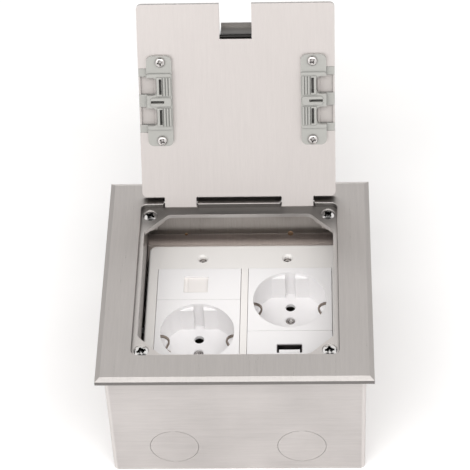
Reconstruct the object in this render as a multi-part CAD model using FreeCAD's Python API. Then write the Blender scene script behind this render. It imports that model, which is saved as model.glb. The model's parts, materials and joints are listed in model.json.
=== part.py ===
import FreeCAD, Part
import math
import os

# Floor socket box: a stainless steel under-floor box with a bevelled cover frame, a hinged lid with a
# cable flap and four cable doors, and a face plate that carries two earthed sockets, a data outlet and
# a charging port.  Millimetres.  X runs to the right, Y to the hinge side, Z up.  The origin is the
# middle of the underside of the box.  The lid is modelled standing open on its stop.

V = FreeCAD.Vector

# ---------------------------------------------------------------- driving dimensions
overall_height = 77.5          # underside of the box to the top of the cover frame

# box
box_side = 132.0
box_wall = 1.2
box_corner_r = 2.5
knockout_d = 25.3
knockout_pitch = 66.2
knockout_height = 18.9         # centre above the underside
knockout_gap = 0.18            # slit round a knockout disc
knockout_bridge = 2.4          # width of the two bridges that hold it
base_hole_d = 5.5
base_hole_pitch_x = 110.0
base_hole_pitch_y = 60.0

# lid
lid_t = 3.0
lid_gap_x = 0.5                # between the lid and the sides of the opening
lid_gap_y = 0.35
lid_seat_gap = 0.1             # between the closed lid and its ledge
lid_corner_r = 2.5
lid_open_deg = 118.0

# cover frame
frame_side = 140.0
frame_rim = 3.6                # height of the rim
bevel_run = 2.5
bevel_drop = 1.25
opening_x = 105.0
opening_y = 106.2
opening_corner_r = 3.0
opening_edge = 0.3             # edge break round the opening
frame_pocket_gap = 0.3         # frame pocket round the top of the box

# lid hinge
tab_w = 17.0
tab_pitch = 63.0
tab_side_gap = 0.5
tab_nose = 2.4                 # from the hinge axis to the end of a tab
tab_nose_gap = 0.15            # between the rounded nose and the back of its notch
hinge_setback = 3.35           # from the rear edge of the lid to the hinge axis
hinge_pin_d = 1.5
hinge_pin_hold = 4.0           # length of pin held in the frame at each side
running_gap = 0.04             # radial, in every pin hole
stop_gap = 0.03                # left at a stop so that faces do not cut

# ledge plate
ledge_plate_t = 2.4
ledge_side = 2.1
ledge_front = 2.7
ledge_back = 5.0
ledge_corner_cut = 12.5
ledge_corner_r = 4.0
ledge_plate_gap = 0.5          # to the box walls
tab_slot_gap = 0.3

# corner screws, brackets and nuts
corner_screw_pitch = 95.6
corner_head_d = 7.5
corner_thread_d = 4.0
corner_screw_length = 9.0
corner_sink = 0.45             # rim of a corner screw below the ledge
corner_crown = 0.5             # rise of its domed head
sink_gap = 0.15                # radial, round a countersunk head
bracket_t = 2.0
bracket_leg = 12.0
bracket_reach = 24.5
bracket_leg_length = 17.0
bracket_cover = 1.3            # ledge plate covers the bracket by this
nut_side = 7.0
nut_t = 3.2

# collar
collar_t = 1.0
collar_depth = 22.6
collar_side = 0.6              # behind the edge of the ledge
collar_front = 1.1
collar_back = 9.4

# shelves that carry the mounting frame, and the spot welds that hold them to the collar
shelf_t = 1.0
shelf_w = 103.0
shelf_reach = 34.9             # from the middle to the free edge of a shelf
shelf_gap = 0.12               # seam between the collar and a shelf
weld_t = 0.35
weld_spots_at = ((-30.0, 0.9), (27.3, 1.6))   # place in X and radius

# face plate
plate_depth = 30.7             # cover frame top to face plate
plate_w = 105.2
plate_l = 102.5
plate_x = 2.6
plate_skin = 2.6
plate_skirt = 6.0
plate_wall = 1.8
plate_corner_r = 4.0
plate_edge_r = 1.2
plate_hole_pitch_x = 46.1
plate_hole_pitch_y = 82.8
plate_sink_d = 6.0             # mouth of the sink round each screw hole
plate_sink_depth = 1.25
plate_hole_gap = 0.1           # radial, between a screw head and its hole
plate_head_d = 4.0
plate_head_h = 1.2
plate_head_drop = 3.15         # top of a head below the plate
plate_thread_d = 2.5
module = 45.0
module_pitch = 48.9
module_gap = 0.12              # to the plate and to the mounting frame
module_joint = 0.2             # between modules
module_proud = 0.3

# mounting frame
mount_t = 3.4
face_gap = 0.05                # between plates that lie on each other
mount_lip = 1.0
mount_lip_w = 1.15
mount_gap = 0.2

# earthed sockets
well_d = 39.2
well_shift_y = -0.3            # of each well in its module
well_depth = 17.5
cup_wall = 1.5
cup_floor = 2.2
chord = 16.8                   # from the middle to each flat side of the well
shelf_depth = 2.2
groove_w = 5.3
groove_reach = 19.5
pin_pitch = 19.0
pin_hole_d = 5.3
contact_drop = 4.0             # top of a pin contact below the top of its base
centre_head_d = 5.2
centre_thread_d = 3.0
centre_gap = 0.05              # radial, round the centre screw
centre_sink = 1.0              # head below the floor of the well
socket_base_h = 14.0
socket_base_w = 42.6
clip_w = 1.3
clip_t = 0.9
clip_inset = 0.5               # skin of the cup left inside a clip's riser
clip_slot_gap = 0.25
clip_hub_r = 3.1               # ring of a clip round the centre screw
clip_top = 14.1                # hook of a clip above the floor of the well
clip_bow = ((-0.6, 14.1), (1.4, 13.8), (2.9, 12.9), (3.9, 11.6), (4.3, 10.1), (4.1, 8.5), (3.4, 6.6),
            (2.5, 4.7), (2.0, 3.4), (2.4, 2.5), (4.3, 0.6))

# data outlet
window_x = 13.0
window_y = 11.6
window_shift_x = -1.8
window_shift_y = -0.3
data_skin = 1.0
shutter_t = 1.0
shutter_overlap = 0.6
shutter_travel = 12.4
jack_w = 15.8
jack_l = 15.5
jack_h = 19.5
port_w = 11.8
port_l = 8.6

# charging port
usb_w = 13.1
usb_l = 5.8
usb_wall = 0.35
usb_shift_y = -0.9
usb_sink = 0.6
usb_depth = 15.6
usb_tongue_w = 11.0
usb_tongue_t = 2.1
usb_tongue_gap = 0.3
usb_tongue_sink = 0.3
usb_housing_h = 27.5
housing_wall = 1.5

# cable flap
notch_w = 17.0
notch_length = 18.8
flap_gap = 0.15
flap_t = 1.2
flap_knuckle_r = 1.0
flap_open_deg = 85.0
flap_pin_d = 1.0
flap_pin_hold = 3.0

# cable outlets in the sides of the lid
outlet_y = -1.0               # middle of the outlets from the middle of the lid
slot_length = 35.2
slot_inset = 12.6              # from the side edge of the lid
outlet_gap = 0.1
outlet_x = 34.1                # inner edge of an outlet housing
ear_x = 47.5
outlet_length = 49.0
outlet_t = 2.2
ear_corner_r = 3.0
outlet_body_length = 30.4
outlet_body_t = 1.1            # the body stands this far above the ears
outlet_pad_t = 0.7             # the pads and the bar stand this far above the body
outlet_bar_w = 4.6
outlet_bar_end = 46.0
outlet_skin = 0.6              # left at the bottom of the slits
groove_pitch = 1.5
outlet_groove_w = 0.6
slit_w = 1.4
slit_shift = 0.1               # of the upright slits from the line of the screws
slit_length = 8.4
bar_slit = (38.4, 45.5)
window_corner_r = 2.3
outlet_screw_x = 40.1
outlet_screw_pitch = 42.8
outlet_head_d = 5.2
outlet_thread_d = 3.0
door_l = 10.0
door_pitch = 16.6
door_gap = 0.2
door_t = 1.3
door_lip = 1.0
door_axis_inset = 8.9          # from the side edge of the lid
door_knuckle_r = 1.1
door_pin_d = 1.0
door_pocket_gap = 0.1

# ---------------------------------------------------------------- derived places
top = overall_height
frame_plate = lid_t + lid_seat_gap
box_top = top - frame_plate
box_inner = box_side / 2 - box_wall
ledge_bottom = box_top - ledge_plate_t
lid_x = opening_x / 2 - lid_gap_x
lid_y = opening_y / 2 - lid_gap_y
lid_under = top - lid_t
hinge_y = lid_y + hinge_setback
hinge_z = top - lid_t / 2
lean = math.radians(lid_open_deg - 90.0)
notch_back = hinge_y + lid_t / 2 * (1 + math.sin(lean)) / math.cos(lean) + stop_gap
ledge_x = opening_x / 2 - ledge_side
ledge_y0 = -opening_y / 2 + ledge_front
ledge_y1 = opening_y / 2 - ledge_back
corner_screw = corner_screw_pitch / 2
collar_x = ledge_x + collar_side
collar_y0 = ledge_y0 - collar_front
collar_y1 = ledge_y1 + collar_back
collar_bottom = ledge_bottom - collar_depth
bracket_bottom = ledge_bottom - bracket_t
plate_top = top - plate_depth
plate_under = plate_top - plate_skin
face = plate_top + module_proud
mount_top = plate_under - face_gap
mount_bottom = mount_top - mount_t
seat = mount_bottom + mount_lip
block_y = 0.75 * module
left_x = plate_x - module_pitch / 2
right_x = plate_x + module_pitch / 2
tile = module / 2 - module_joint / 2
well_floor = face - well_depth
cup_bottom = well_floor - cup_floor
base_top = cup_bottom - clip_t - 2 * face_gap
flap_y = -lid_y + notch_length - flap_knuckle_r - stop_gap
flap_z = top - flap_knuckle_r
flap_x = notch_w / 2 - flap_gap
door_axis_x = lid_x - door_axis_inset
door_axis_z = top - door_knuckle_r
slot_x = lid_x - slot_inset


# ---------------------------------------------------------------- helpers
def box(x0, x1, y0, y1, z0, z1):
    return Part.makeBox(x1 - x0, y1 - y0, z1 - z0, V(x0, y0, z0))


def plate_box(cx, cy, w, l, z0, z1, r=0.0):
    solid = box(cx - w / 2, cx + w / 2, cy - l / 2, cy + l / 2, z0, z1)
    return round_uprights(solid, r) if r else solid


def upright(edge):
    a, b = edge.Vertexes[0].Point, edge.Vertexes[-1].Point
    return abs(a.x - b.x) < 1e-6 and abs(a.y - b.y) < 1e-6 and abs(a.z - b.z) > 1e-6


def round_uprights(solid, r, keep=lambda p: True):
    edges = [e for e in solid.Edges if upright(e) and keep(e.Vertexes[0].Point)]
    return solid.makeFillet(r, edges)


def rod(axis, r, start, end, u, v):
    """A cylinder along X, Y or Z from start to end; u and v are its other two coordinates."""
    base = {"x": V(start, u, v), "y": V(u, start, v), "z": V(u, v, start)}[axis]
    way = {"x": V(1, 0, 0), "y": V(0, 1, 0), "z": V(0, 0, 1)}[axis]
    return Part.makeCylinder(r, end - start, base, way)


def cone(r0, r1, x, y, z0, z1):
    return Part.makeCone(r0, r1, z1 - z0, V(x, y, z0), V(0, 0, 1))


def prism(points, z0, z1):
    wire = Part.makePolygon([V(x, y, z0) for x, y in points + points[:1]])
    return Part.Face(wire).extrude(V(0, 0, z1 - z0))


def side_prism(points, x0, x1):
    """A prism along X over an outline in (y, z)."""
    wire = Part.makePolygon([V(x0, y, z) for y, z in points + points[:1]])
    return Part.Face(wire).extrude(V(x1 - x0, 0, 0))


def frustum(side0, side1, z0, z1):
    squares = []
    for side, z in ((side0, z0), (side1, z1)):
        h = side / 2
        corners = [V(-h, -h, z), V(h, -h, z), V(h, h, z), V(-h, h, z), V(-h, -h, z)]
        squares.append(Part.makePolygon(corners))
    return Part.makeLoft(squares, True, True)


def fuse(*solids):
    joined = solids[0]
    for solid in solids[1:]:
        joined = joined.fuse(solid)
    return joined.removeSplitter()


def cut(solid, *tools):
    for tool in tools:
        solid = solid.cut(tool)
    return solid


def group(solids):
    return solids[0] if len(solids) == 1 else Part.makeCompound(solids)


def moved(solid, x=0.0, y=0.0, z=0.0):
    copy = solid.copy()
    copy.translate(V(x, y, z))
    return copy


def mirrored_x(solid):
    return solid.mirror(V(0, 0, 0), V(1, 0, 0))


def mirrored_y(solid):
    return solid.mirror(V(0, 0, 0), V(0, 1, 0))


def turned(solid, y, z, degrees):
    """Turned about an axis along X through (y, z)."""
    copy = solid.copy()
    copy.rotate(V(0, y, z), V(1, 0, 0), degrees)
    return copy


def opened(solid):
    """From the closed lid's place to the open lid's place."""
    return turned(solid, hinge_y, hinge_z, -lid_open_deg)


def four_corners(x, y):
    return [(sx * x, sy * y) for sx in (-1, 1) for sy in (-1, 1)]


def strip(points, t, y0, y1):
    """Flat strip of thickness t that follows points in (x, z), with round bends."""
    parts = []
    for (xa, za), (xb, zb) in zip(points, points[1:]):
        length = math.hypot(xb - xa, zb - za)
        bar = box(0, length, y0, y1, -t / 2, t / 2)
        bar.rotate(V(0, 0, 0), V(0, 1, 0), -math.degrees(math.atan2(zb - za, xb - xa)))
        parts.append(moved(bar, x=xa, z=za))
    for x, z in points[1:-1]:
        parts.append(rod("y", t / 2, y0, y1, x, z))
    return fuse(*parts)


def cross_recess(x, y, z, span, depth, turn=0.0):
    """Cutter for a cross recess that opens at height z and narrows downwards, with a pit in the middle."""
    cutters = [cone(span / 6, span / 2.9, x, y, z - depth * 1.15, z + 0.05)]
    for angle in (turn, turn + 90.0):
        rings = []
        for half, width, level in ((span / 2, span / 3.8, z + 0.05), (span / 4, span / 6, z - depth)):
            w = width / 2
            rings.append(Part.makePolygon([V(-half, -w, level), V(half, -w, level), V(half, w, level),
                                           V(-half, w, level), V(-half, -w, level)]))
        wing = Part.makeLoft(rings, True, True)
        wing.rotate(V(0, 0, 0), V(0, 0, 1), angle)
        cutters.append(moved(wing, x=x, y=y))
    return fuse(*cutters)


def flat_head_screw(x, y, z, head_d, thread_d, length, turn=0.0, crown=0.0):
    """Countersunk cross-head screw with the rim of its head at height z and a crown above it."""
    head_h = (head_d - thread_d) / 2
    head = cone(thread_d / 2, head_d / 2, x, y, z - head_h, z)
    if crown:
        ball_r = (head_d ** 2 / 4 + crown ** 2) / (2 * crown)
        ball = Part.makeSphere(ball_r, V(x, y, z + crown - ball_r))
        head = fuse(head, rod("z", head_d / 2, z, z + crown, x, y).common(ball))
    shank = rod("z", thread_d / 2, z - length, z - head_h, x, y)
    depth = head_h * 0.75 + crown
    return cut(fuse(head, shank), cross_recess(x, y, z + crown, head_d * 0.7, depth, turn))


def pan_head_screw(x, y, z, head_d, thread_d, length, turn=0.0):
    """Pan-head cross screw seated at height z, pointing down."""
    head_h = head_d * 0.34
    head = rod("z", head_d / 2, z, z + head_h, x, y)
    rim = [e for e in head.Edges if abs(e.BoundBox.ZMin - z - head_h) < 1e-6 and e.BoundBox.ZLength < 1e-6]
    head = head.makeFillet(head_h * 0.62, rim)
    shank = rod("z", thread_d / 2, z - length, z, x, y)
    return cut(fuse(head, shank), cross_recess(x, y, z + head_h, head_d * 0.62, head_h * 0.8, turn))


# ---------------------------------------------------------------- box
def box_shell():
    outer = plate_box(0, 0, box_side, box_side, 0, box_top, box_corner_r)
    inner = plate_box(0, 0, 2 * box_inner, 2 * box_inner, box_wall, box_top + 1, box_corner_r - box_wall)
    holes = [rod("y", knockout_d / 2, -box_side, box_side, sx * knockout_pitch / 2, knockout_height)
             for sx in (-1, 1)]
    holes += [rod("z", base_hole_d / 2, -1, box_wall + 1, x, y)
              for x, y in four_corners(base_hole_pitch_x / 2, base_hole_pitch_y / 2)]
    return cut(outer, inner, *holes)


def knockout_discs():
    discs = []
    for sy in (-1, 1):
        y0, y1 = sorted((sy * box_side / 2, sy * box_inner))
        for sx in (-1, 1):
            x = sx * knockout_pitch / 2
            disc = rod("y", knockout_d / 2 - knockout_gap, y0, y1, x, knockout_height)
            bridge = box(x - knockout_bridge / 2, x + knockout_bridge / 2, y0, y1,
                         knockout_height - knockout_d, knockout_height + knockout_d)
            bridge = bridge.common(rod("y", knockout_d / 2 - face_gap, y0, y1, x, knockout_height))
            discs.append(fuse(disc, bridge))
    return group(discs)


def corner_brackets():
    inner = box_inner - bracket_reach
    reach = ledge_x + ledge_y1 - ledge_corner_cut + bracket_cover
    outline = [(box_inner, inner), (box_inner, box_inner), (inner, box_inner), (inner, reach - inner),
               (reach - inner, inner)]
    tongue = prism(outline, bracket_bottom, ledge_bottom)
    tongue = round_uprights(tongue, box_corner_r, lambda p: p.x > box_inner - 1 and p.y > box_inner - 1)
    leg_y0 = box_inner - box_corner_r - bracket_leg_length
    leg = box(box_inner - bracket_t, box_inner, leg_y0, leg_y0 + bracket_leg_length,
              bracket_bottom - bracket_leg, bracket_bottom)
    hole = rod("z", corner_thread_d / 2 + running_gap, 0, top, corner_screw, corner_screw)
    one = cut(fuse(tongue, leg), hole)
    pair = [one, mirrored_x(one)]
    return group(pair + [mirrored_y(b) for b in pair])


def captive_nuts():
    nuts = []
    for x, y in four_corners(corner_screw, corner_screw):
        nut = plate_box(x, y, nut_side, nut_side, bracket_bottom - nut_t, bracket_bottom, 0.4)
        nuts.append(cut(nut, rod("z", corner_thread_d / 2 + running_gap, 0, top, x, y)))
    return group(nuts)


def corner_screws():
    turns = (20.0, 65.0, 5.0, 40.0)
    return group([flat_head_screw(x, y, box_top - corner_sink, corner_head_d, corner_thread_d,
                                  corner_screw_length, turn, corner_crown)
                  for (x, y), turn in zip(four_corners(corner_screw, corner_screw), turns)])


# ---------------------------------------------------------------- cover frame
def tab_centres():
    return (-tab_pitch / 2, tab_pitch / 2)


def cover_frame():
    lower = box(-frame_side / 2, frame_side / 2, -frame_side / 2, frame_side / 2,
                top - frame_rim, top - bevel_drop)
    solid = fuse(lower, frustum(frame_side, frame_side - 2 * bevel_run, top - bevel_drop, top))
    pocket = box_side + 2 * frame_pocket_gap
    solid = cut(solid, plate_box(0, 0, pocket, pocket, top - frame_rim - 1, box_top, box_corner_r))
    solid = cut(solid, plate_box(0, 0, opening_x, opening_y, 0, top + 1, opening_corner_r))
    half = tab_w / 2 + tab_side_gap
    for x in tab_centres():
        solid = cut(solid, box(x - half, x + half, opening_y / 2 - 2, notch_back, 0, top + 1))
    solid = round_uprights(solid, 1.0, lambda p: abs(p.y - opening_y / 2) < 0.01 and abs(p.x) < lid_x - 5)
    rim = [e for e in solid.Edges if e.BoundBox.ZMin > top - 1e-4
           and max(abs(e.BoundBox.XMin), abs(e.BoundBox.XMax)) < opening_x / 2 + 0.01
           and max(abs(e.BoundBox.YMin), abs(e.BoundBox.YMax)) < notch_back + 0.01]
    solid = solid.makeChamfer(opening_edge, rim)
    for x in tab_centres():
        solid = cut(solid, hinge_rod(x, hinge_pin_d / 2))
    return solid


def hinge_rod(x, r):
    half = tab_w / 2 + tab_side_gap + hinge_pin_hold
    return rod("x", r, x - half, x + half, hinge_y, hinge_z)


def hinge_pins():
    return group([hinge_rod(x, hinge_pin_d / 2) for x in tab_centres()])


def octagon(grow, z0, z1, r):
    x, y0, y1, c = ledge_x + grow, ledge_y0 - grow, ledge_y1 + grow, ledge_corner_cut
    outline = [(x - c, y0), (x, y0 + c), (x, y1 - c), (x - c, y1),
               (-x + c, y1), (-x, y1 - c), (-x, y0 + c), (-x + c, y0)]
    return round_uprights(prism(outline, z0, z1), r)


def ledge_plate():
    side = 2 * (box_inner - ledge_plate_gap)
    solid = plate_box(0, 0, side, side, ledge_bottom, box_top, box_corner_r)
    solid = cut(solid, octagon(0, 0, top, ledge_corner_r))
    half = tab_w / 2 + tab_side_gap
    swing = math.hypot(tab_nose, lid_t / 2)
    slot_y0 = hinge_y - swing + (swing - math.sqrt(swing ** 2 - (lid_t / 2) ** 2)) - tab_slot_gap
    for x in tab_centres():
        solid = cut(solid, box(x - half, x + half, slot_y0, hinge_y + swing + tab_slot_gap, 0, top))
    rim = box_top - corner_sink
    head_low = rim - (corner_head_d - corner_thread_d) / 2 - sink_gap
    for x, y in four_corners(corner_screw, corner_screw):
        sink = cone(corner_thread_d / 2, corner_head_d / 2 + sink_gap, x, y, head_low, rim)
        mouth = rod("z", corner_head_d / 2 + sink_gap, rim, top, x, y)
        solid = cut(solid, sink, mouth, rod("z", corner_thread_d / 2 + running_gap, 0, top, x, y))
    return solid


def collar():
    w, l = 2 * collar_x, collar_y1 - collar_y0
    cy = (collar_y0 + collar_y1) / 2
    outer = plate_box(0, cy, w + 2 * collar_t, l + 2 * collar_t, collar_bottom, ledge_bottom, 2.0)
    inner = plate_box(0, cy, w, l, collar_bottom - 1, ledge_bottom + 1, 1.0)
    solid = cut(outer, inner)
    clear = box_inner - bracket_reach - 0.4
    low = bracket_bottom - nut_t - 1.0
    for sx in (-1, 1):
        for sy in (-1, 1):
            x0, x1 = sorted((sx * clear, sx * box_side))
            y0, y1 = sorted((sy * clear, sy * box_side))
            solid = cut(solid, box(x0, x1, y0, y1, low, top))
    return solid


def shelf(side):
    """Angle whose wall carries on below the collar and whose flange lies under the mounting frame."""
    wall = collar_y1 if side > 0 else -collar_y0
    bottom = mount_bottom - face_gap - shelf_t
    flange = box(-shelf_w / 2, shelf_w / 2, shelf_reach, wall + shelf_t, bottom, bottom + shelf_t)
    upright_wall = box(-shelf_w / 2, shelf_w / 2, wall, wall + shelf_t, bottom, collar_bottom - shelf_gap)
    holes = [rod("z", plate_thread_d / 2 + running_gap, 0, top, x, abs(y)) for x, y in plate_hole_places()]
    solid = cut(fuse(flange, upright_wall), *holes)
    return solid if side > 0 else mirrored_y(solid)


def weld_spots():
    """Beads on the inner faces that bridge the seam between the collar and the shelves."""
    seam = collar_bottom - shelf_gap / 2
    spots = []
    for wall, way in ((collar_y1, -1), (collar_y0, 1)):
        for x, r in weld_spots_at:
            y0, y1 = sorted((wall, wall + way * weld_t))
            bead = rod("y", r, y0, y1, x, seam)
            rim = [e for e in bead.Edges if abs(e.BoundBox.YMin - wall - way * weld_t) < 1e-6
                   and e.BoundBox.YLength < 1e-6]
            spots.append(bead.makeFillet(0.8 * weld_t, rim))
    return group(spots)


# ---------------------------------------------------------------- face plate and mounting frame
def plate_hole_places():
    return [(plate_x + x, y) for x, y in four_corners(plate_hole_pitch_x / 2, plate_hole_pitch_y / 2)]


def plate_holes(r, z0, z1):
    return [rod("z", r, z0, z1, x, y) for x, y in plate_hole_places()]


def face_plate():
    z0 = plate_top - plate_skirt
    solid = plate_box(plate_x, 0, plate_w, plate_l, z0, plate_top, plate_corner_r)
    rim = [e for e in solid.Edges if e.BoundBox.ZMin > plate_top - 1e-4]
    solid = solid.makeFillet(plate_edge_r, rim)
    inner_r = plate_corner_r - plate_wall
    solid = cut(solid, plate_box(plate_x, 0, plate_w - 2 * plate_wall, plate_l - 2 * plate_wall,
                                 z0 - 1, plate_under, inner_r))
    for x in (left_x, right_x):
        solid = cut(solid, plate_box(x, 0, module + 2 * module_gap, 2 * (block_y + module_gap),
                                     z0, plate_top + 1, 0.4))
    hole_r = plate_head_d / 2 + plate_hole_gap
    for x, y in plate_hole_places():
        solid = cut(solid, cone(hole_r, plate_sink_d / 2, x, y, plate_top - plate_sink_depth, plate_top))
    return cut(solid, *plate_holes(hole_r, z0, plate_top))


def mounting_frame():
    w = plate_w - 2 * plate_wall - 2 * mount_gap
    l = plate_l - 2 * plate_wall - 2 * mount_gap
    solid = plate_box(plate_x, 0, w, l, mount_bottom, mount_top, plate_corner_r - plate_wall)
    for x in (left_x, right_x):
        hole_l = 2 * (block_y + module_gap)
        solid = cut(solid, plate_box(x, 0, module + module_gap, hole_l, seat, mount_top + 1))
        solid = cut(solid, plate_box(x, 0, module - 2 * mount_lip_w, hole_l, 0, mount_top))
    seats = plate_holes(plate_head_d / 2 + plate_hole_gap, plate_head_seat(), top)
    return cut(solid, *plate_holes(plate_thread_d / 2 + plate_hole_gap, 0, top), *seats)


def plate_head_seat():
    return plate_top - plate_head_drop - plate_head_h


def plate_screws():
    turns = (10.0, 50.0, 30.0, 75.0)
    seat_z = plate_head_seat()
    head_top = seat_z + plate_head_h
    screws = []
    for (x, y), turn in zip(plate_hole_places(), turns):
        head = rod("z", plate_head_d / 2, seat_z, head_top, x, y)
        shank = rod("z", plate_thread_d / 2, mount_bottom - 2 * shelf_t - 2.0, seat_z, x, y)
        recess = cross_recess(x, y, head_top, plate_head_d * 0.6, plate_head_h * 0.75, turn)
        screws.append(cut(fuse(head, shank), recess))
    return group(screws)


# ---------------------------------------------------------------- earthed sockets
def socket_insert(cx, cy):
    r = well_d / 2
    y = cy + well_shift_y
    body = fuse(plate_box(cx, cy, 2 * tile, 2 * tile, seat, face, 0.4),
                rod("z", r + cup_wall, cup_bottom, seat, cx, y))
    rim = rod("z", r, face - shelf_depth, face + 1, cx, y)
    well = rod("z", r, well_floor, face, cx, y).common(
        box(cx - r, cx + r, y - chord, y + chord, well_floor, face))
    body = cut(body, rim, well)
    for sy in (-1, 1):
        y0, y1 = sorted((y + sy * (chord - 1), y + sy * groove_reach))
        body = cut(body, box(cx - groove_w / 2, cx + groove_w / 2, y0, y1, well_floor, face + 1))
        body = cut(body, rod("z", pin_hole_d / 2, 0, face, cx, y + sy * pin_pitch / 2))
    half = clip_w / 2 + clip_slot_gap
    slot_top = well_floor + clip_top + clip_t
    for sx in (-1, 1):
        x0, x1 = sorted((cx + sx * (r + clip_inset - clip_slot_gap), cx + sx * (r + cup_wall + 1)))
        body = cut(body, box(x0, x1, y - half, y + half, cup_bottom - 1, slot_top))
        x0, x1 = sorted((cx + sx * (r - 1), cx + sx * (r + cup_wall)))
        body = cut(body, box(x0, x1, y - half, y + half, slot_top - 2 * clip_t, slot_top))
    head_top = well_floor - centre_sink
    head_low = head_top - (centre_head_d - centre_thread_d) / 2 - centre_gap
    return cut(body, rod("z", centre_head_d / 2 + centre_gap, head_top, face, cx, y),
               cone(centre_thread_d / 2, centre_head_d / 2 + centre_gap, cx, y, head_low, head_top),
               rod("z", centre_thread_d / 2 + centre_gap, 0, face, cx, y))


def earth_clip(cx, cy):
    """Spring strip that runs under the cup, up its sides and over into the well as two bowed arms."""
    r = well_d / 2
    z = cup_bottom - clip_t / 2 - face_gap
    riser = r + clip_inset + clip_t / 2
    points = [(0, z), (riser, z), (riser, well_floor + clip_top)]
    points += [(r - inward, well_floor + up) for inward, up in clip_bow]
    half = strip(points, clip_t, -clip_w / 2, clip_w / 2)
    hub = rod("z", clip_hub_r, z - clip_t / 2, z + clip_t / 2, 0, 0)
    whole = cut(fuse(half, mirrored_x(half), hub), rod("z", clip_hub_r - 1.2, 0, top, 0, 0))
    return moved(whole, x=cx, y=cy + well_shift_y)


def socket_base(cx, tile_y):
    h = socket_base_w / 2
    cy = tile_y + well_shift_y
    z0 = base_top - socket_base_h
    body = plate_box(cx, cy, 2 * h, 2 * h, z0, base_top, 2.0)
    for sy in (-1, 1):
        y = cy + sy * pin_pitch / 2
        body = cut(body, rod("z", 4.0, z0 + 1.6, base_top + 1, cx, y))
        y0, y1 = sorted((y, cy + sy * (h - 1.5)))
        body = cut(body, box(cx - 3.6, cx + 3.6, y0, y1, z0 + 4.0, base_top + 1))
        body = cut(body, rod("z", 2.6, z0 - 1, z0 + 5, cx, cy + sy * (h - 4.6)))
        body = cut(body, rod("x", 1.7, cx - h - 1, cx, cy + sy * (h - 4.6), base_top - 5.0))
    return cut(body, rod("z", 1.55, base_top - 11, base_top + 1, cx, cy))


def pin_contacts(cx, tile_y):
    h = socket_base_w / 2
    cy = tile_y + well_shift_y
    z0 = base_top - socket_base_h
    contacts = []
    for sy in (-1, 1):
        y = cy + sy * pin_pitch / 2
        block_y0, block_y1 = sorted((cy + sy * (h - 7.4), cy + sy * (h - 1.8)))
        tail_y0, tail_y1 = sorted((y + sy * 3.0, cy + sy * (h - 4)))
        solid = fuse(rod("z", 3.5, z0 + 1.8, base_top - contact_drop, cx, y),
                     box(cx - 2.8, cx + 2.8, block_y0, block_y1, z0 + 4.2, base_top - 1.0),
                     box(cx - 1.6, cx + 1.6, tail_y0, tail_y1, z0 + 4.2, z0 + 5.4))
        solid = cut(solid, rod("z", 2.5, z0 + 3.0, base_top, cx, y),
                    box(cx - 0.4, cx + 0.4, y - 4, y + 4, z0 + 5.6, base_top).common(
                        rod("z", 3.6, z0, base_top, cx, y)),
                    rod("x", 1.5, cx - 4, cx + 4, cy + sy * (h - 4.6), base_top - 5.0),
                    rod("z", 1.5, z0, base_top - 5.0, cx, cy + sy * (h - 4.6)))
        contacts.append(solid)
    return group(contacts)


def terminal_screws():
    screws = []
    z0 = base_top - socket_base_h
    for cx, cy in socket_centres():
        for sy in (-1, 1):
            y = cy + well_shift_y + sy * (socket_base_w / 2 - 4.6)
            head = rod("z", 2.4, z0 + 0.2, z0 + 2.2, cx, y)
            slot = box(cx - 3, cx + 3, y - 0.4, y + 0.4, z0, z0 + 1.0)
            screws.append(fuse(cut(head, slot), rod("z", 1.46, z0 + 2.2, base_top - 6.6, cx, y)))
    return group(screws)


def socket_centres():
    return ((left_x, -module / 4), (right_x, module / 4))


def centre_screws():
    turns = (35.0, 80.0)
    return group([flat_head_screw(cx, cy + well_shift_y, well_floor - centre_sink, centre_head_d,
                                  centre_thread_d, 10.0, turn)
                  for (cx, cy), turn in zip(socket_centres(), turns)])


# ---------------------------------------------------------------- data outlet
def data_centre():
    return left_x, module / 2


def half_tile(cx, cy):
    return plate_box(cx, cy, 2 * tile, module / 2 - module_joint, seat, face, 0.4)


def data_window():
    cx, cy = data_centre()
    return cx + window_shift_x, cy + window_shift_y


def data_bezel():
    cx, cy = data_centre()
    wx, wy = data_window()
    under = face - data_skin
    track_x0 = wx - window_x / 2 - shutter_overlap - shutter_travel - 0.2
    track_x1 = wx + window_x / 2 + shutter_overlap + 0.2
    half_y = window_y / 2 + shutter_overlap + 0.1
    body = half_tile(cx, cy)
    body = cut(body, plate_box(wx, wy, window_x, window_y, under - 1, face + 1, 0.5))
    body = cut(body, box(track_x0, track_x1, wy - half_y, wy + half_y, seat - 1, under))
    return cut(body, plate_box(cx, cy, 2 * tile - 3.0, module / 2 - 3.0, seat - 1, under - shutter_t - 0.1))


def data_shutter():
    wx, wy = data_window()
    z1 = face - data_skin - 0.05
    z0 = z1 - shutter_t
    slide = plate_box(wx, wy, window_x + 2 * shutter_overlap, window_y + 2 * shutter_overlap - 0.1, z0, z1)
    grip_x = wx - window_x / 2 + 0.4
    return cut(slide, box(grip_x, grip_x + 2.0, wy - window_y / 2 + 0.4, wy + window_y / 2 - 0.4,
                          z1 - 0.5, z1 + 1))


def data_jack():
    cx, cy = data_centre()
    wx, wy = data_window()
    z1 = face - data_skin - shutter_t - 0.15
    flange = plate_box(cx, cy, 2 * tile - 3.4, module / 2 - 3.4, z1 - 1.5, z1)
    body = plate_box(wx, wy, jack_w, jack_l, z1 - jack_h, z1 - 1.5, 0.6)
    port = plate_box(wx, wy, port_w, port_l, z1 - 14.0, z1 + 1)
    latch = box(wx - 3.1, wx + 3.1, wy - port_l / 2 - 2.0, wy, z1 - 14.0, z1 + 1)
    return cut(fuse(flange, body), port, latch)


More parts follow.
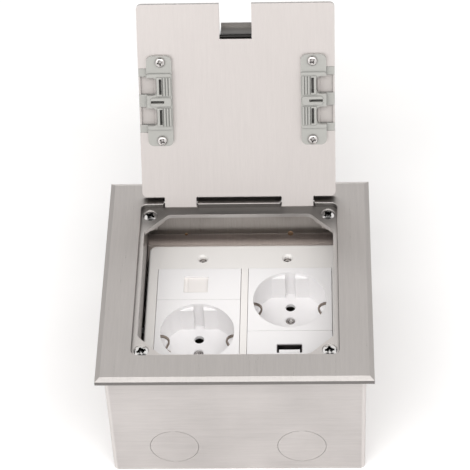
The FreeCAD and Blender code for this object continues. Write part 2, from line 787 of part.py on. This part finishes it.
def data_contacts():
    wx, wy = data_window()
    z1 = face - data_skin - shutter_t - 0.15
    wall = wy + port_l / 2 - 0.05
    wires = []
    for k in range(8):
        x = wx + (k - 3.5) * 1.02
        outline = [(wall, z1 - 3.0), (wall, z1 - 3.5), (wall - 3.4, z1 - 10.6), (wall - 3.8, z1 - 10.4)]
        wires.append(side_prism(outline, x - 0.22, x + 0.22))
    return group(wires)


# ---------------------------------------------------------------- charging port
def usb_centre():
    return right_x, -module / 2


def usb_place():
    cx, cy = usb_centre()
    return cx - 0.1, cy + usb_shift_y


def usb_bezel():
    cx, cy = usb_centre()
    px, py = usb_place()
    body = half_tile(cx, cy)
    body = cut(body, plate_box(px, py, usb_w + 0.3, usb_l + 0.3, seat - 1, face + 1, 0.3))
    return cut(body, plate_box(cx, cy, 2 * tile - 4.0, module / 2 - 4.0, seat - 1, face - 2.4))


def usb_shell():
    px, py = usb_place()
    z1 = face - usb_sink
    outer = plate_box(px, py, usb_w, usb_l, z1 - usb_depth, z1, 0.7)
    inner = plate_box(px, py, usb_w - 2 * usb_wall, usb_l - 2 * usb_wall, z1 - usb_depth + 0.4, z1 + 1, 0.4)
    return cut(outer, inner)


def usb_tongue():
    px, py = usb_place()
    z1 = face - usb_sink
    z0 = z1 - usb_depth + 0.45
    foot = plate_box(px, py, usb_w - 2 * usb_wall - 0.1, usb_l - 2 * usb_wall - 0.1, z0, z0 + 3.0, 0.4)
    y0 = py - usb_l / 2 + usb_wall + usb_tongue_gap
    half = usb_tongue_w / 2
    return fuse(foot, box(px - half, px + half, y0, y0 + usb_tongue_t, z0 + 3.0, z1 - usb_tongue_sink))


def usb_contacts():
    px, py = usb_place()
    z1 = face - usb_sink
    y = py - usb_l / 2 + usb_wall + usb_tongue_gap + usb_tongue_t
    return group([box(px + x - 0.6, px + x + 0.6, y, y + 0.2, z1 - 10.5, z1 - 4.0)
                  for x in (-3.5, -1.0, 1.0, 3.5)])


def usb_housing():
    cx, cy = usb_centre()
    w, l = socket_base_w, module / 2 - 1.2
    z1 = seat - 0.05
    outer = plate_box(cx, cy, w, l, z1 - usb_housing_h, z1, 1.0)
    inner = plate_box(cx, cy, w - 2 * housing_wall, l - 2 * housing_wall, z1 - usb_housing_h + housing_wall,
                      z1 + 1, 0.5)
    vents = [box(cx + x - 0.6, cx + x + 0.6, cy - l, cy - l / 2 + housing_wall + 0.5,
                 z1 - usb_housing_h + 6, z1 - 12) for x in (-12, -9, -6, 6, 9, 12)]
    return cut(outer, inner, *vents)


def usb_board():
    cx, cy = usb_centre()
    z1 = face - usb_sink - usb_depth
    w = socket_base_w - 2 * housing_wall - 0.2
    l = module / 2 - 1.2 - 2 * housing_wall - 0.2
    return plate_box(cx, cy, w, l, z1 - 1.6, z1, 0.4)


def usb_transformer():
    cx, cy = usb_centre()
    z1 = face - usb_sink - usb_depth - 1.6
    core = plate_box(cx - 7, cy, 11, 12, z1 - 8.0, z1, 0.8)
    coil = plate_box(cx - 7, cy, 14, 8, z1 - 7.0, z1 - 1.0, 0.8)
    return fuse(core, coil)


# ---------------------------------------------------------------- earth terminal
earth_y = -56.0


def earth_stud():
    return rod("z", 2.0, box_wall, box_wall + 11, 0, earth_y)


def earth_washer():
    return cut(rod("z", 4.5, box_wall, box_wall + 1.0, 0, earth_y), rod("z", 2.05, 0, 20, 0, earth_y))


def earth_nut():
    r = 3.5 / math.cos(math.radians(30))
    points = [(r * math.cos(math.radians(60 * k)), earth_y + r * math.sin(math.radians(60 * k)))
              for k in range(6)]
    nut = prism(points, box_wall + 1.0, box_wall + 4.2)
    return cut(nut, rod("z", 2.04, 0, 20, 0, earth_y))


# ---------------------------------------------------------------- lid
def lid_plate():
    solid = plate_box(0, 0, 2 * lid_x, 2 * lid_y, lid_under, top, lid_corner_r)
    for x in tab_centres():
        tab = box(x - tab_w / 2, x + tab_w / 2, lid_y - 1, hinge_y + tab_nose, lid_under, top)
        solid = fuse(solid, tab)
    solid = round_uprights(solid, 0.8, lambda p: abs(p.y - lid_y) < 0.01
                           and any(abs(abs(p.x - x) - tab_w / 2) < 0.01 for x in tab_centres()))
    nose_r = notch_back - stop_gap - hinge_y - tab_nose_gap
    for x in tab_centres():
        block = box(x - tab_w, x + tab_w, hinge_y, hinge_y + 2 * tab_nose, hinge_z, top + 1)
        nose = rod("x", nose_r, x - tab_w, x + tab_w, hinge_y, hinge_z)
        solid = cut(solid, block.cut(nose))
        solid = cut(solid, rod("x", hinge_pin_d / 2 + running_gap, x - tab_w, x + tab_w, hinge_y, hinge_z))
    solid = cut(solid, box(-notch_w / 2, notch_w / 2, -lid_y - 1, -lid_y + notch_length, 0, top + 1))
    for sx in (-1, 1):
        x0, x1 = sorted((sx * slot_x, sx * (lid_x + 1)))
        half = slot_length / 2
        solid = cut(solid, box(x0, x1, outlet_y - half, outlet_y + half, 0, top + 1))
    for x, y in outlet_screw_places():
        solid = cut(solid, rod("z", outlet_thread_d / 2 + running_gap, 0, top - outlet_skin, x, y))
    return opened(cut(solid, flap_rod(flap_pin_d / 2)))


def flap_rod(r):
    half = notch_w / 2 + flap_pin_hold
    return rod("x", r, -half, half, flap_y, flap_z)


def flap_pin():
    return opened(flap_rod(flap_pin_d / 2))


def cable_flap():
    leaf = box(-flap_x, flap_x, -lid_y, flap_y, top - flap_t, top)
    lip = box(-flap_x, flap_x, -lid_y, -lid_y + flap_t, lid_under + lid_seat_gap, top)
    curl = rod("x", flap_knuckle_r, -flap_x, flap_x, flap_y, flap_z)
    solid = cut(fuse(leaf, lip, curl), flap_rod(flap_pin_d / 2 + running_gap))
    return opened(turned(solid, flap_y, flap_z, -flap_open_deg))


def door_rows():
    return (outlet_y - door_pitch / 2, outlet_y + door_pitch / 2)


def outlet_screw_places():
    return [(x, outlet_y + y) for x, y in four_corners(outlet_screw_x, outlet_screw_pitch / 2)]


def outlet_housing(side):
    z0 = lid_under - outlet_t
    body_z = z0 - outlet_body_t
    pad_z = body_z - outlet_pad_t
    slot_half = slot_length / 2 - outlet_gap
    edge = lid_x - outlet_gap
    pocket_x = door_axis_x - door_knuckle_r - door_pocket_gap
    window_edge = pocket_x + outlet_skin / 2
    middle, width = (outlet_x + ear_x) / 2, ear_x - outlet_x
    solid = fuse(plate_box(middle, outlet_y, width, outlet_length, z0, lid_under, ear_corner_r),
                 plate_box(middle, outlet_y, width, outlet_body_length, body_z, z0, 1.0),
                 box(slot_x + outlet_gap, edge, outlet_y - slot_half, outlet_y + slot_half, lid_under, top),
                 plate_box((outlet_x + outlet_bar_end) / 2, outlet_y, outlet_bar_end - outlet_x - 1.0,
                           outlet_bar_w, pad_z, body_z, 1.2))
    slit_x0 = outlet_screw_x + slit_shift - slit_w / 2
    for y in door_rows():
        half = door_l / 2
        solid = fuse(solid, box(outlet_x + 0.6, window_edge, y - half, y + half, pad_z, body_z))
        for k in range(3):
            x = outlet_x + 1.6 + k * groove_pitch
            groove = box(x, x + outlet_groove_w, y - half - 1, y + half + 1, pad_z - 1, body_z - 0.1)
            solid = cut(solid, groove)
        window = plate_box((window_edge + edge + 6) / 2, y, edge + 6 - window_edge, door_l - 0.2,
                           pad_z - 1, top + 1, window_corner_r)
        pocket = box(pocket_x, edge + 1, y - half - door_gap, y + half + door_gap, lid_under + 0.2, top + 1)
        slit = box(slit_x0, slit_x0 + slit_w, y - slit_length / 2, y + slit_length / 2,
                   pad_z - 1, top - outlet_skin)
        solid = cut(solid, window, pocket, slit, door_rod(y, door_pin_d / 2))
    solid = cut(solid, box(bar_slit[0], bar_slit[1], outlet_y - slit_w / 2, outlet_y + slit_w / 2,
                           pad_z - 1, lid_under + 1))
    for x, y in outlet_screw_places():
        solid = cut(solid, rod("z", outlet_thread_d / 2 + outlet_gap, 0, top, abs(x), y))
    return opened(solid if side > 0 else mirrored_x(solid))


def door_rod(y, r):
    half = door_l / 2 + door_gap + 1.5
    return rod("y", r, y - half, y + half, door_axis_x, door_axis_z)


def door_pins():
    pins = [door_rod(y, door_pin_d / 2) for y in door_rows()]
    return opened(group(pins + [mirrored_x(pin) for pin in pins]))


def outlet_door(side, row):
    y = door_rows()[row]
    low, high = y - door_l / 2, y + door_l / 2
    edge = lid_x - 0.1
    leaf = box(door_axis_x, edge, low, high, top - door_t, top)
    lip = box(edge - door_lip, edge, low, high, lid_under + 0.25, top)
    knuckle = rod("y", door_knuckle_r, low, high, door_axis_x, door_axis_z)
    solid = cut(fuse(leaf, lip, knuckle),
                rod("y", door_pin_d / 2 + running_gap, low, high, door_axis_x, door_axis_z))
    return opened(solid if side > 0 else mirrored_x(solid))


def outlet_screws():
    """Built head up and turned over, because they enter the lid from below."""
    screws = []
    turns = (15.0, 60.0, 40.0, 80.0)
    z = lid_under - outlet_t
    for (x, y), turn in zip(outlet_screw_places(), turns):
        screw = pan_head_screw(x, y, 0, outlet_head_d, outlet_thread_d, lid_t + outlet_t - 1.0, turn)
        screw.rotate(V(x, y, 0), V(1, 0, 0), 180)
        screws.append(moved(screw, z=z))
    return opened(group(screws))


# ---------------------------------------------------------------- write the parts
def parts():
    (lx, ly), (rx, ry) = socket_centres()
    made = {
        "box_shell": box_shell(),
        "knockout_discs": knockout_discs(),
        "corner_brackets": corner_brackets(),
        "captive_nuts": captive_nuts(),
        "corner_screws": corner_screws(),
        "cover_frame": cover_frame(),
        "hinge_pins": hinge_pins(),
        "ledge_plate": ledge_plate(),
        "collar": collar(),
        "shelf_front": shelf(-1),
        "shelf_rear": shelf(1),
        "weld_spots": weld_spots(),
        "face_plate": face_plate(),
        "mounting_frame": mounting_frame(),
        "plate_screws": plate_screws(),
        "socket_insert_left": socket_insert(lx, ly),
        "socket_insert_right": socket_insert(rx, ry),
        "earth_clip_left": earth_clip(lx, ly),
        "earth_clip_right": earth_clip(rx, ry),
        "socket_base_left": socket_base(lx, ly),
        "socket_base_right": socket_base(rx, ry),
        "pin_contacts_left": pin_contacts(lx, ly),
        "pin_contacts_right": pin_contacts(rx, ry),
        "terminal_screws": terminal_screws(),
        "centre_screws": centre_screws(),
        "data_bezel": data_bezel(),
        "data_shutter": data_shutter(),
        "data_jack": data_jack(),
        "data_contacts": data_contacts(),
        "usb_bezel": usb_bezel(),
        "usb_shell": usb_shell(),
        "usb_tongue": usb_tongue(),
        "usb_contacts": usb_contacts(),
        "usb_housing": usb_housing(),
        "usb_board": usb_board(),
        "usb_transformer": usb_transformer(),
        "earth_stud": earth_stud(),
        "earth_washer": earth_washer(),
        "earth_nut": earth_nut(),
        "lid_plate": lid_plate(),
        "flap_pin": flap_pin(),
        "cable_flap": cable_flap(),
        "door_pins": door_pins(),
        "outlet_screws": outlet_screws(),
    }
    for side, word in ((-1, "left"), (1, "right")):
        made["outlet_housing_" + word] = outlet_housing(side)
        for row, place in enumerate(("front", "rear")):
            made["outlet_door_" + word + "_" + place] = outlet_door(side, row)
    return made


os.makedirs("parts", exist_ok=True)
for name, shape in parts().items():
    shape.exportStep("parts/" + name + ".step")
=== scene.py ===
import json
import math

import bpy
from mathutils import Matrix, Vector

# Looks for the floor socket box: materials on the CAD pieces, soft studio light and the camera.
# Metres, in the frame that the CAD pieces and the joints use: X right, Y to the hinge side, Z up.

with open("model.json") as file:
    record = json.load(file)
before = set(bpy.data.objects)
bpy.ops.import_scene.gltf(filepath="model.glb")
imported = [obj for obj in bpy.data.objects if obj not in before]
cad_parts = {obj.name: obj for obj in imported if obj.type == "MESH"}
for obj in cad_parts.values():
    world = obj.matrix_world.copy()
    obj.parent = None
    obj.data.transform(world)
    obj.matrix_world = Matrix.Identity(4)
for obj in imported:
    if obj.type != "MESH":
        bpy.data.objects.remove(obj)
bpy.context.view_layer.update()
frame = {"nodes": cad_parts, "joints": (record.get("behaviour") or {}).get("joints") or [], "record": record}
nodes = frame["nodes"]
joints = {joint["name"]: joint for joint in frame["joints"]}
lid_open = math.radians(joints["lid_hinge"]["range_deg"][1])
lid_pivot = joints["lid_hinge"]["pos_m"]
flap_pivot = joints["flap_hinge"]["pos_m"]

MM = 0.001
UPRIGHT = (0, 0, 1)
NOISE_SPAN = (0.3, 0.7)         # most of a noise texture's values lie between these


# ---------------------------------------------------------------- node helpers
class Tree:
    """Short calls for the nodes of a material or a world."""

    def __init__(self, owner):
        owner.use_nodes = True
        self.tree = owner.node_tree

    def node(self, kind, **values):
        node = self.tree.nodes.new(kind)
        for name, value in values.items():
            setattr(node, name, value)
        return node

    def link(self, source, target):
        self.tree.links.new(source, target)

    def feed(self, socket, value):
        """Gives a socket a number, a colour or another node's output."""
        if isinstance(value, (int, float)):
            socket.default_value = value
        elif isinstance(value, tuple):
            socket.default_value = (*value, 1.0)
        else:
            self.link(value, socket)

    def coords(self, kind):
        return self.node("ShaderNodeTexCoord").outputs[kind]

    def axes(self, kind):
        """The X, Y and Z of a kind of coordinates."""
        split = self.node("ShaderNodeSeparateXYZ")
        self.link(self.coords(kind), split.inputs["Vector"])
        return split.outputs

    def math(self, operation, *values):
        node = self.node("ShaderNodeMath", operation=operation)
        for socket, value in zip(node.inputs, values):
            self.feed(socket, value)
        return node.outputs[0]

    def size_of(self, value):
        return self.math("ABSOLUTE", value)

    def ramp(self, value, low, high, at_low, at_high, interpolation="LINEAR"):
        node = self.node("ShaderNodeMapRange", interpolation_type=interpolation)
        for name, number in (("From Min", low), ("From Max", high), ("To Min", at_low), ("To Max", at_high)):
            node.inputs[name].default_value = number
        self.link(value, node.inputs["Value"])
        return node.outputs["Result"]

    def mix(self, factor, a, b, blend="MIX"):
        node = self.node("ShaderNodeMix", data_type="RGBA", blend_type=blend)
        for name, value in (("Factor", factor), ("A", a), ("B", b)):
            self.feed(node.inputs[name], value)
        return node.outputs["Result"]


class Material(Tree):
    """A Principled material, with the masks and textures that the finishes below share."""

    def __init__(self, name):
        self.name = name
        self.material = bpy.data.materials.new(name)
        super().__init__(self.material)
        self.shader = self.tree.nodes["Principled BSDF"]

    def set(self, **values):
        for socket, value in values.items():
            self.shader.inputs[socket.replace("_", " ")].default_value = value

    def noise(self, scale, turn, detail, roughness):
        """Noise on the object coordinates, which are first turned about X and then scaled."""
        turned = self.node("ShaderNodeMapping")
        turned.inputs["Rotation"].default_value = (turn, 0, 0)
        self.link(self.coords("Object"), turned.inputs["Vector"])
        scaled = self.node("ShaderNodeMapping")
        scaled.inputs["Scale"].default_value = scale
        self.link(turned.outputs["Vector"], scaled.inputs["Vector"])
        texture = self.node("ShaderNodeTexNoise")
        texture.inputs["Scale"].default_value = 1.0
        texture.inputs["Detail"].default_value = detail
        texture.inputs["Roughness"].default_value = roughness
        self.link(scaled.outputs["Vector"], texture.inputs["Vector"])
        return texture.outputs["Fac"]

    def even_noise(self, per_metre, detail, roughness):
        return self.noise((per_metre,) * 3, 0.0, detail, roughness)

    def blend_of(self, a, b, share):
        """The two textures, with that share of b."""
        return self.math("ADD", self.math("MULTIPLY", a, 1.0 - share), self.math("MULTIPLY", b, share))

    def broad(self, normal):
        """1 on faces that look along the sheet's normal, 0 on its cut edges."""
        product = self.node("ShaderNodeVectorMath", operation="DOT_PRODUCT")
        self.link(self.coords("Normal"), product.inputs[0])
        product.inputs[1].default_value = normal
        return self.ramp(self.size_of(product.outputs["Value"]), 0.6, 0.88, 0.0, 1.0)

    def bend(self):
        """1 in the middle of a rounded upright corner, 0 on the walls beside it."""
        normal = self.axes("Normal")
        both = self.math("MULTIPLY", normal["X"], normal["Y"])
        return self.ramp(self.size_of(both), 0.08, 0.4, 0.0, 1.0)

    def within(self, half):
        """1 where a point lies nearer the middle than half, along X and along Y."""
        point = self.axes("Object")
        reach = self.math("MAXIMUM", self.size_of(point["X"]), self.size_of(point["Y"]))
        fade = 0.5 * MM
        return self.ramp(reach, half - fade, half + fade, 1.0, 0.0)

    def from_axis(self, point, near, far, at_near, at_far):
        """A ramp on the distance from a line along X through a point."""
        flat = self.node("ShaderNodeVectorMath", operation="MULTIPLY")
        self.link(self.coords("Object"), flat.inputs[0])
        flat.inputs[1].default_value = (0.0, 1.0, 1.0)
        away = self.node("ShaderNodeVectorMath", operation="DISTANCE")
        self.link(flat.outputs["Vector"], away.inputs[0])
        away.inputs[1].default_value = (0.0, point[1], point[2])
        return self.ramp(away.outputs["Value"], near, far, at_near, at_far)

    def hollows(self, colour, depth, floor):
        """Paints shade into grooves and recesses of that depth, down to floor."""
        open_sky = self.node("ShaderNodeAmbientOcclusion", samples=8)
        open_sky.inputs["Distance"].default_value = depth
        return self.mix(1.0, colour, self.ramp(open_sky.outputs["AO"], 0.25, 0.85, floor, 1.0), "MULTIPLY")

    def smear(self, amount, direction):
        """Stretches reflections along a direction, across the brush lines."""
        tangent = self.node("ShaderNodeCombineXYZ")
        for socket, value in zip(tangent.inputs, direction):
            socket.default_value = value
        self.link(tangent.outputs["Vector"], self.shader.inputs["Tangent"])
        self.set(Anisotropic=amount)

    def colour(self, output):
        self.link(output, self.shader.inputs["Base Color"])

    def rough(self, texture, low, high, span=NOISE_SPAN):
        self.link(self.ramp(texture, *span, low, high), self.shader.inputs["Roughness"])

    def bump(self, height, distance, strength, edge):
        """Relief from a texture, on edges that are softened in the shading as tumbled or moulded ones are."""
        soft = self.node("ShaderNodeBevel", samples=4)
        soft.inputs["Radius"].default_value = edge
        relief = self.node("ShaderNodeBump")
        relief.inputs["Strength"].default_value = strength
        relief.inputs["Distance"].default_value = distance
        self.link(height, relief.inputs["Height"])
        self.link(soft.outputs["Normal"], relief.inputs["Normal"])
        self.link(relief.outputs["Normal"], self.shader.inputs["Normal"])


def shade(colour, factor):
    return tuple(min(1.0, c * factor) for c in colour)


def lighter_and_darker(colour, contrast):
    return shade(colour, 1.0 - contrast), shade(colour, 1.0 + contrast)


# ---------------------------------------------------------------- finishes
def brushed_steel(name, colour, roughness, along, contrast, depth=0.004, turn=0.0, sides=1.0,
                  across=(1, 0, 0), normal=UPRIGHT, deep=None, cloudy=0.2, corners=1.0):
    """Steel with hairlines. Along gives how many millimetres a line runs in X, Y and Z, turned about X by
    turn, and across is the direction that blurs. Sides sets the painted shade on the cut edges of a sheet
    with that normal. Where deep gives a mask and a shade, the cut edges under the mask take that painted
    shade. Cloudy is the share of broad clouds in the tone, and corners sets a painted highlight on rounded
    upright bends."""
    m = Material(name)
    m.set(Metallic=1.0)
    m.smear(0.85, across)
    wide_scale = 0.22               # of the fine lines' frequency
    fine = m.noise(tuple(1.0 / (length * MM) for length in along), turn, 3.0, 0.7)
    wide = m.noise(tuple(wide_scale / (length * MM) for length in along), turn, 2.0, 0.6)
    cloud = m.noise((28.0,) * 3, turn, 2.0, 0.5)
    lines = m.blend_of(fine, wide, 0.4)
    tone = m.blend_of(lines, cloud, cloudy)
    face = m.mix(m.ramp(tone, 0.32, 0.68, 0.0, 1.0), *lighter_and_darker(colour, contrast))
    # Painted shade on the cut edges, deeper under the deep mask.
    if sides < 1.0:
        dark = m.mix(tone, *lighter_and_darker(shade(colour, sides), 0.1))
        if deep:
            mask, deep_shade = deep
            dark = m.mix(mask(m), dark, shade(colour, deep_shade))
        face = m.mix(m.broad(normal), dark, face)
    # Painted highlight on rounded upright bends.
    if corners > 1.0:
        face = m.mix(m.bend(), face, shade(colour, corners))
    m.colour(face)
    swing = 0.03
    m.rough(lines, roughness - swing, roughness + swing)
    m.bump(lines, depth * MM, 1.0, 0.15 * MM)
    return m


def satin_steel(name, colour, roughness, contrast, sides=1.0, rear=1.0):
    """Sheet steel with a fine even grain, as pickled or rolled. Sides sets the painted shade on its cut
    edges, and rear the painted shade next to the lid's hinge."""
    m = Material(name)
    m.set(Metallic=1.0)
    grain = 0.6 * MM
    speck = m.even_noise(1.0 / grain, 3.0, 0.6)
    tone = m.blend_of(speck, m.even_noise(45.0, 3.0, 0.55), 0.5)
    face = m.mix(m.ramp(tone, 0.35, 0.65, 0.0, 1.0), *lighter_and_darker(colour, contrast))
    # Painted shade on the cut edges.
    if sides < 1.0:
        face = m.mix(m.broad(UPRIGHT), shade(colour, sides), face)
    # Painted shade next to the lid's hinge.
    if rear < 1.0:
        face = m.mix(m.from_axis(lid_pivot, 14 * MM, 24 * MM, 0.0, 1.0), shade(colour, rear), face)
    m.colour(face)
    m.rough(tone, roughness - 0.05, roughness + 0.07)
    m.bump(speck, 0.006 * MM, 1.0, 0.12 * MM)
    return m


def plated(name, colour, roughness, recess=1.0, steep=1.0):
    """Bright plated or turned small parts. Recess sets the painted shade in their slots, and steep the
    painted shade on the walls of an upright screw's slot."""
    m = Material(name)
    m.set(Metallic=1.0)
    speck = m.even_noise(900.0, 3.0, 0.6)
    face = m.mix(speck, shade(colour, 0.92), shade(colour, 1.05))
    # Painted shade on the walls of an upright screw's slot.
    if steep < 1.0:
        face = m.mix(m.broad(UPRIGHT), shade(colour, steep), face)
    # Painted shade in the slots and recesses.
    if recess < 1.0:
        face = m.hollows(face, 0.8 * MM, recess)
    m.colour(face)
    m.rough(speck, roughness - 0.04, roughness + 0.06)
    m.bump(speck, 0.01 * MM, 0.5, 0.08 * MM)
    return m


def moulded(name, colour, roughness, depth=0.006, edge=0.2, groove=1.0):
    """Moulded plastic with a fine spark texture. Depth and edge are in millimetres, and groove sets the
    painted shade in its grooves."""
    m = Material(name)
    m.set(IOR=1.49)
    grain = 0.35 * MM
    speck = m.even_noise(1.0 / grain, 2.0, 0.5)
    face = m.mix(m.even_noise(30.0, 2.0, 0.5), *lighter_and_darker(colour, 0.02))
    # Painted shade in the grooves.
    if groove < 1.0:
        face = m.hollows(face, 1.0 * MM, groove)
    m.colour(face)
    m.rough(speck, roughness - 0.04, roughness + 0.05)
    m.bump(speck, depth * MM, 1.0, edge * MM)
    return m


def leaf_steel(name, colour):
    """Dark sheet of the cable flap, with painted shade that is deepest next to its pivot."""
    m = Material(name)
    m.set(Metallic=1.0)
    grain = 0.5 * MM
    speck = m.even_noise(1.0 / grain, 3.0, 0.6)
    # Painted shade next to the pivot.
    m.colour(m.mix(m.from_axis(flap_pivot, 2.5 * MM, 5.5 * MM, 0.0, 1.0), shade(colour, 0.12), colour))
    m.rough(speck, 0.28, 0.38)
    m.bump(speck, 0.004 * MM, 1.0, 0.12 * MM)
    return m


def inside_the_opening(m):
    """The cover frame's inner walls, where a deeper shade is painted: the mask lies between its opening and
    its rim.
    """
    return m.within(60 * MM)


def lid_heel(m):
    """The lid's edge next to its hinge, where a deeper shade is painted."""
    return m.from_axis(lid_pivot, 12 * MM, 16 * MM, 1.0, 0.0)


along_y = (0.3, 9.0, 0.3)
along_z = (0.3, 0.3, 8.0)
lid_normal = (0, -math.sin(lid_open), -math.cos(lid_open))
finish_list = (
    # Painted highlight on the box's rounded upright corners.
    brushed_steel("box_steel", (0.51, 0.484, 0.473), 0.40, (9.0, 9.0, 0.35), 0.13, across=(0, 0, 1),
                  cloudy=0.45, corners=1.3),
    # Painted shade on the cover's cut edges, deepest on the walls inside the opening.
    brushed_steel("cover_steel", (0.63, 0.60, 0.58), 0.30, along_y, 0.06, depth=0.002, sides=0.29,
                  deep=(inside_the_opening, 0.13)),
    # Painted shade on the lid's cut edges, deepest at its edge next to the hinge.
    brushed_steel("lid_steel", (0.645, 0.607, 0.59), 0.34, (0.3, 7.0, 0.3), 0.04, turn=lid_open, sides=0.5,
                  normal=lid_normal, deep=(lid_heel, 0.12)),
    satin_steel("inner_steel", (0.42, 0.39, 0.37), 0.38, 0.05),
    # Painted shade on the ledge's cut edges and next to the lid's hinge.
    satin_steel("ledge_steel", (0.80, 0.765, 0.74), 0.34, 0.07, sides=0.7, rear=0.55),
    # Darker than the other steel: painted shade on the collar's walls.
    brushed_steel("collar_steel", (0.32, 0.30, 0.285), 0.30, along_z, 0.13),
    # Lighter than the collar steel around it: painted light on the shelves.
    brushed_steel("shelf_steel", (0.54, 0.50, 0.48), 0.48, along_z, 0.09),
    # Near black: painted shade in the deep pin holes.
    plated("contact_steel", (0.10, 0.09, 0.08), 0.4),
    satin_steel("weld_steel", (0.30, 0.20, 0.13), 0.42, 0.3),
    # Painted shade in the screw slots.
    plated("screw_steel", (0.60, 0.58, 0.57), 0.14, recess=0.05),
    # Painted shade in the corner screws' recesses and on their slot walls.
    plated("corner_steel", (0.95, 0.94, 0.93), 0.10, recess=0.3, steep=0.04),
    plated("pin_steel", (0.45, 0.44, 0.43), 0.25),
    leaf_steel("flap_steel", (0.26, 0.25, 0.24)),
    # Painted shade in the outlets' and doors' grooves.
    moulded("outlet_plastic", (0.34, 0.34, 0.322), 0.45, groove=0.5),
    moulded("door_plastic", (0.42, 0.395, 0.38), 0.40, groove=0.6),
    moulded("white_plastic", (0.87, 0.86, 0.865), 0.39, depth=0.002, edge=0.3),
    moulded("plate_plastic", (0.84, 0.82, 0.80), 0.33, depth=0.002, edge=0.3),
    moulded("shutter_plastic", (0.84, 0.81, 0.79), 0.36, depth=0.002),
    moulded("base_plastic", (0.60, 0.60, 0.58), 0.45),
    plated("brass", (0.80, 0.62, 0.32), 0.25),
    plated("nickel", (0.36, 0.31, 0.27), 0.30),
    # Dark: painted shade inside the USB shell.
    plated("shell_steel", (0.16, 0.15, 0.15), 0.35),
    plated("gold", (0.88, 0.68, 0.28), 0.2),
    moulded("board", (0.03, 0.18, 0.07), 0.35),
    moulded("dark_plastic", (0.02, 0.02, 0.02), 0.6),
)
finishes = {finish.name: finish.material for finish in finish_list}

# Each node takes the finish of its slot in the record, apart from these.
slot_of = {entry["node"]: entry["material_slot"] for entry in frame["record"]["subparts"]}
slot_of.update({
    # The shelves take a lighter steel than the collar: painted light.
    "shelf_front": "shelf_steel",
    "shelf_rear": "shelf_steel",
    # The pin contacts take a near-black steel: painted shade in the pin holes.
    "pin_contacts_left": "contact_steel",
    "pin_contacts_right": "contact_steel",
    "corner_screws": "corner_steel",
})
for name, obj in nodes.items():
    obj.data.materials.clear()
    obj.data.materials.append(finishes[slot_of[name]])


# ---------------------------------------------------------------- floor, light and camera
def stage_floor():
    size = 6.0
    mesh = bpy.data.meshes.new("floor")
    corners = [(-size, -size, 0), (size, -size, 0), (size, size, 0), (-size, size, 0)]
    mesh.from_pydata(corners, [], [(0, 1, 2, 3)])
    floor = bpy.data.objects.new("floor", mesh)
    bpy.context.scene.collection.objects.link(floor)
    floor.data.materials.append(moulded("floor_paper", (0.95, 0.95, 0.95), 0.8).material)


def area_light(name, place, target, size, power, colour=(1, 1, 1)):
    data = bpy.data.lights.new(name, "AREA")
    data.shape = "RECTANGLE"
    data.size, data.size_y = size
    data.energy = power
    data.color = colour
    light = bpy.data.objects.new(name, data)
    bpy.context.scene.collection.objects.link(light)
    light.location = place
    light.rotation_euler = (Vector(target) - Vector(place)).to_track_quat("-Z", "Y").to_euler()


def studio_lights():
    mouth = (0, 0, 0.07)
    box_middle = (0, 0, 0.05)
    area_light("top", (0.0, -0.22, 1.25), mouth, (1.2, 0.4), 1.1)
    area_light("front_high", (0.0, -0.62, 1.1), mouth, (1.2, 0.45), 6.5, (1.0, 0.99, 0.98))
    area_light("front_left", (-0.9, -1.1, 0.7), box_middle, (0.8, 0.8), 1.5)


def studio_world():
    """A soft pale surround, greyer behind the object and darker straight overhead and low at the back."""
    world = bpy.data.worlds.new("studio")
    bpy.context.scene.world = world
    sky = Tree(world)
    towards = sky.axes("Generated")
    low_back = sky.math("MULTIPLY_ADD", towards["Z"], -1.2, towards["Y"])
    front_to_back = sky.ramp(towards["Y"], -0.3, 0.65, 1.5, 0.76, "SMOOTHSTEP")
    others = (
        sky.ramp(towards["Z"], 0.1, 0.6, 0.70, 1.0, "SMOOTHSTEP"),      # greyer at the horizon
        sky.ramp(towards["Z"], 0.84, 0.93, 1.0, 0.04, "SMOOTHSTEP"),    # dark overhead
        sky.ramp(low_back, 0.3, 0.7, 1.0, 0.06, "SMOOTHSTEP"),          # dark low at the back
    )
    strength = front_to_back
    for factor in others:
        strength = sky.math("MULTIPLY", strength, factor)
    background = sky.tree.nodes["Background"]
    sky.link(strength, background.inputs["Strength"])
    background.inputs["Color"].default_value = (1.0, 0.985, 0.975, 1.0)


def photo_camera():
    """The camera stands in front, above and a little to the right, and looks down into the box."""
    place = (0.043236, -0.740387, 0.886381)
    pitch, yaw, roll = math.radians(46.357), math.radians(-3.335), math.radians(-2.924)
    data = bpy.data.cameras.new("camera")
    data.lens = 161.38
    data.sensor_width = 36.0
    data.clip_start = 0.01
    forward = Vector((math.sin(yaw) * math.cos(pitch), math.cos(yaw) * math.cos(pitch), -math.sin(pitch)))
    level = Vector((math.cos(yaw), -math.sin(yaw), 0.0))
    rise = level.cross(forward)
    right = math.cos(roll) * level + math.sin(roll) * rise
    up = -math.sin(roll) * level + math.cos(roll) * rise
    camera = bpy.data.objects.new("camera", data)
    bpy.context.scene.collection.objects.link(camera)
    turn = Matrix((right, up, -forward)).transposed().to_4x4()
    camera.matrix_world = Matrix.Translation(place) @ turn
    bpy.context.scene.camera = camera


stage_floor()
studio_world()
studio_lights()
photo_camera()
bpy.context.scene.view_settings.view_transform = "Standard"
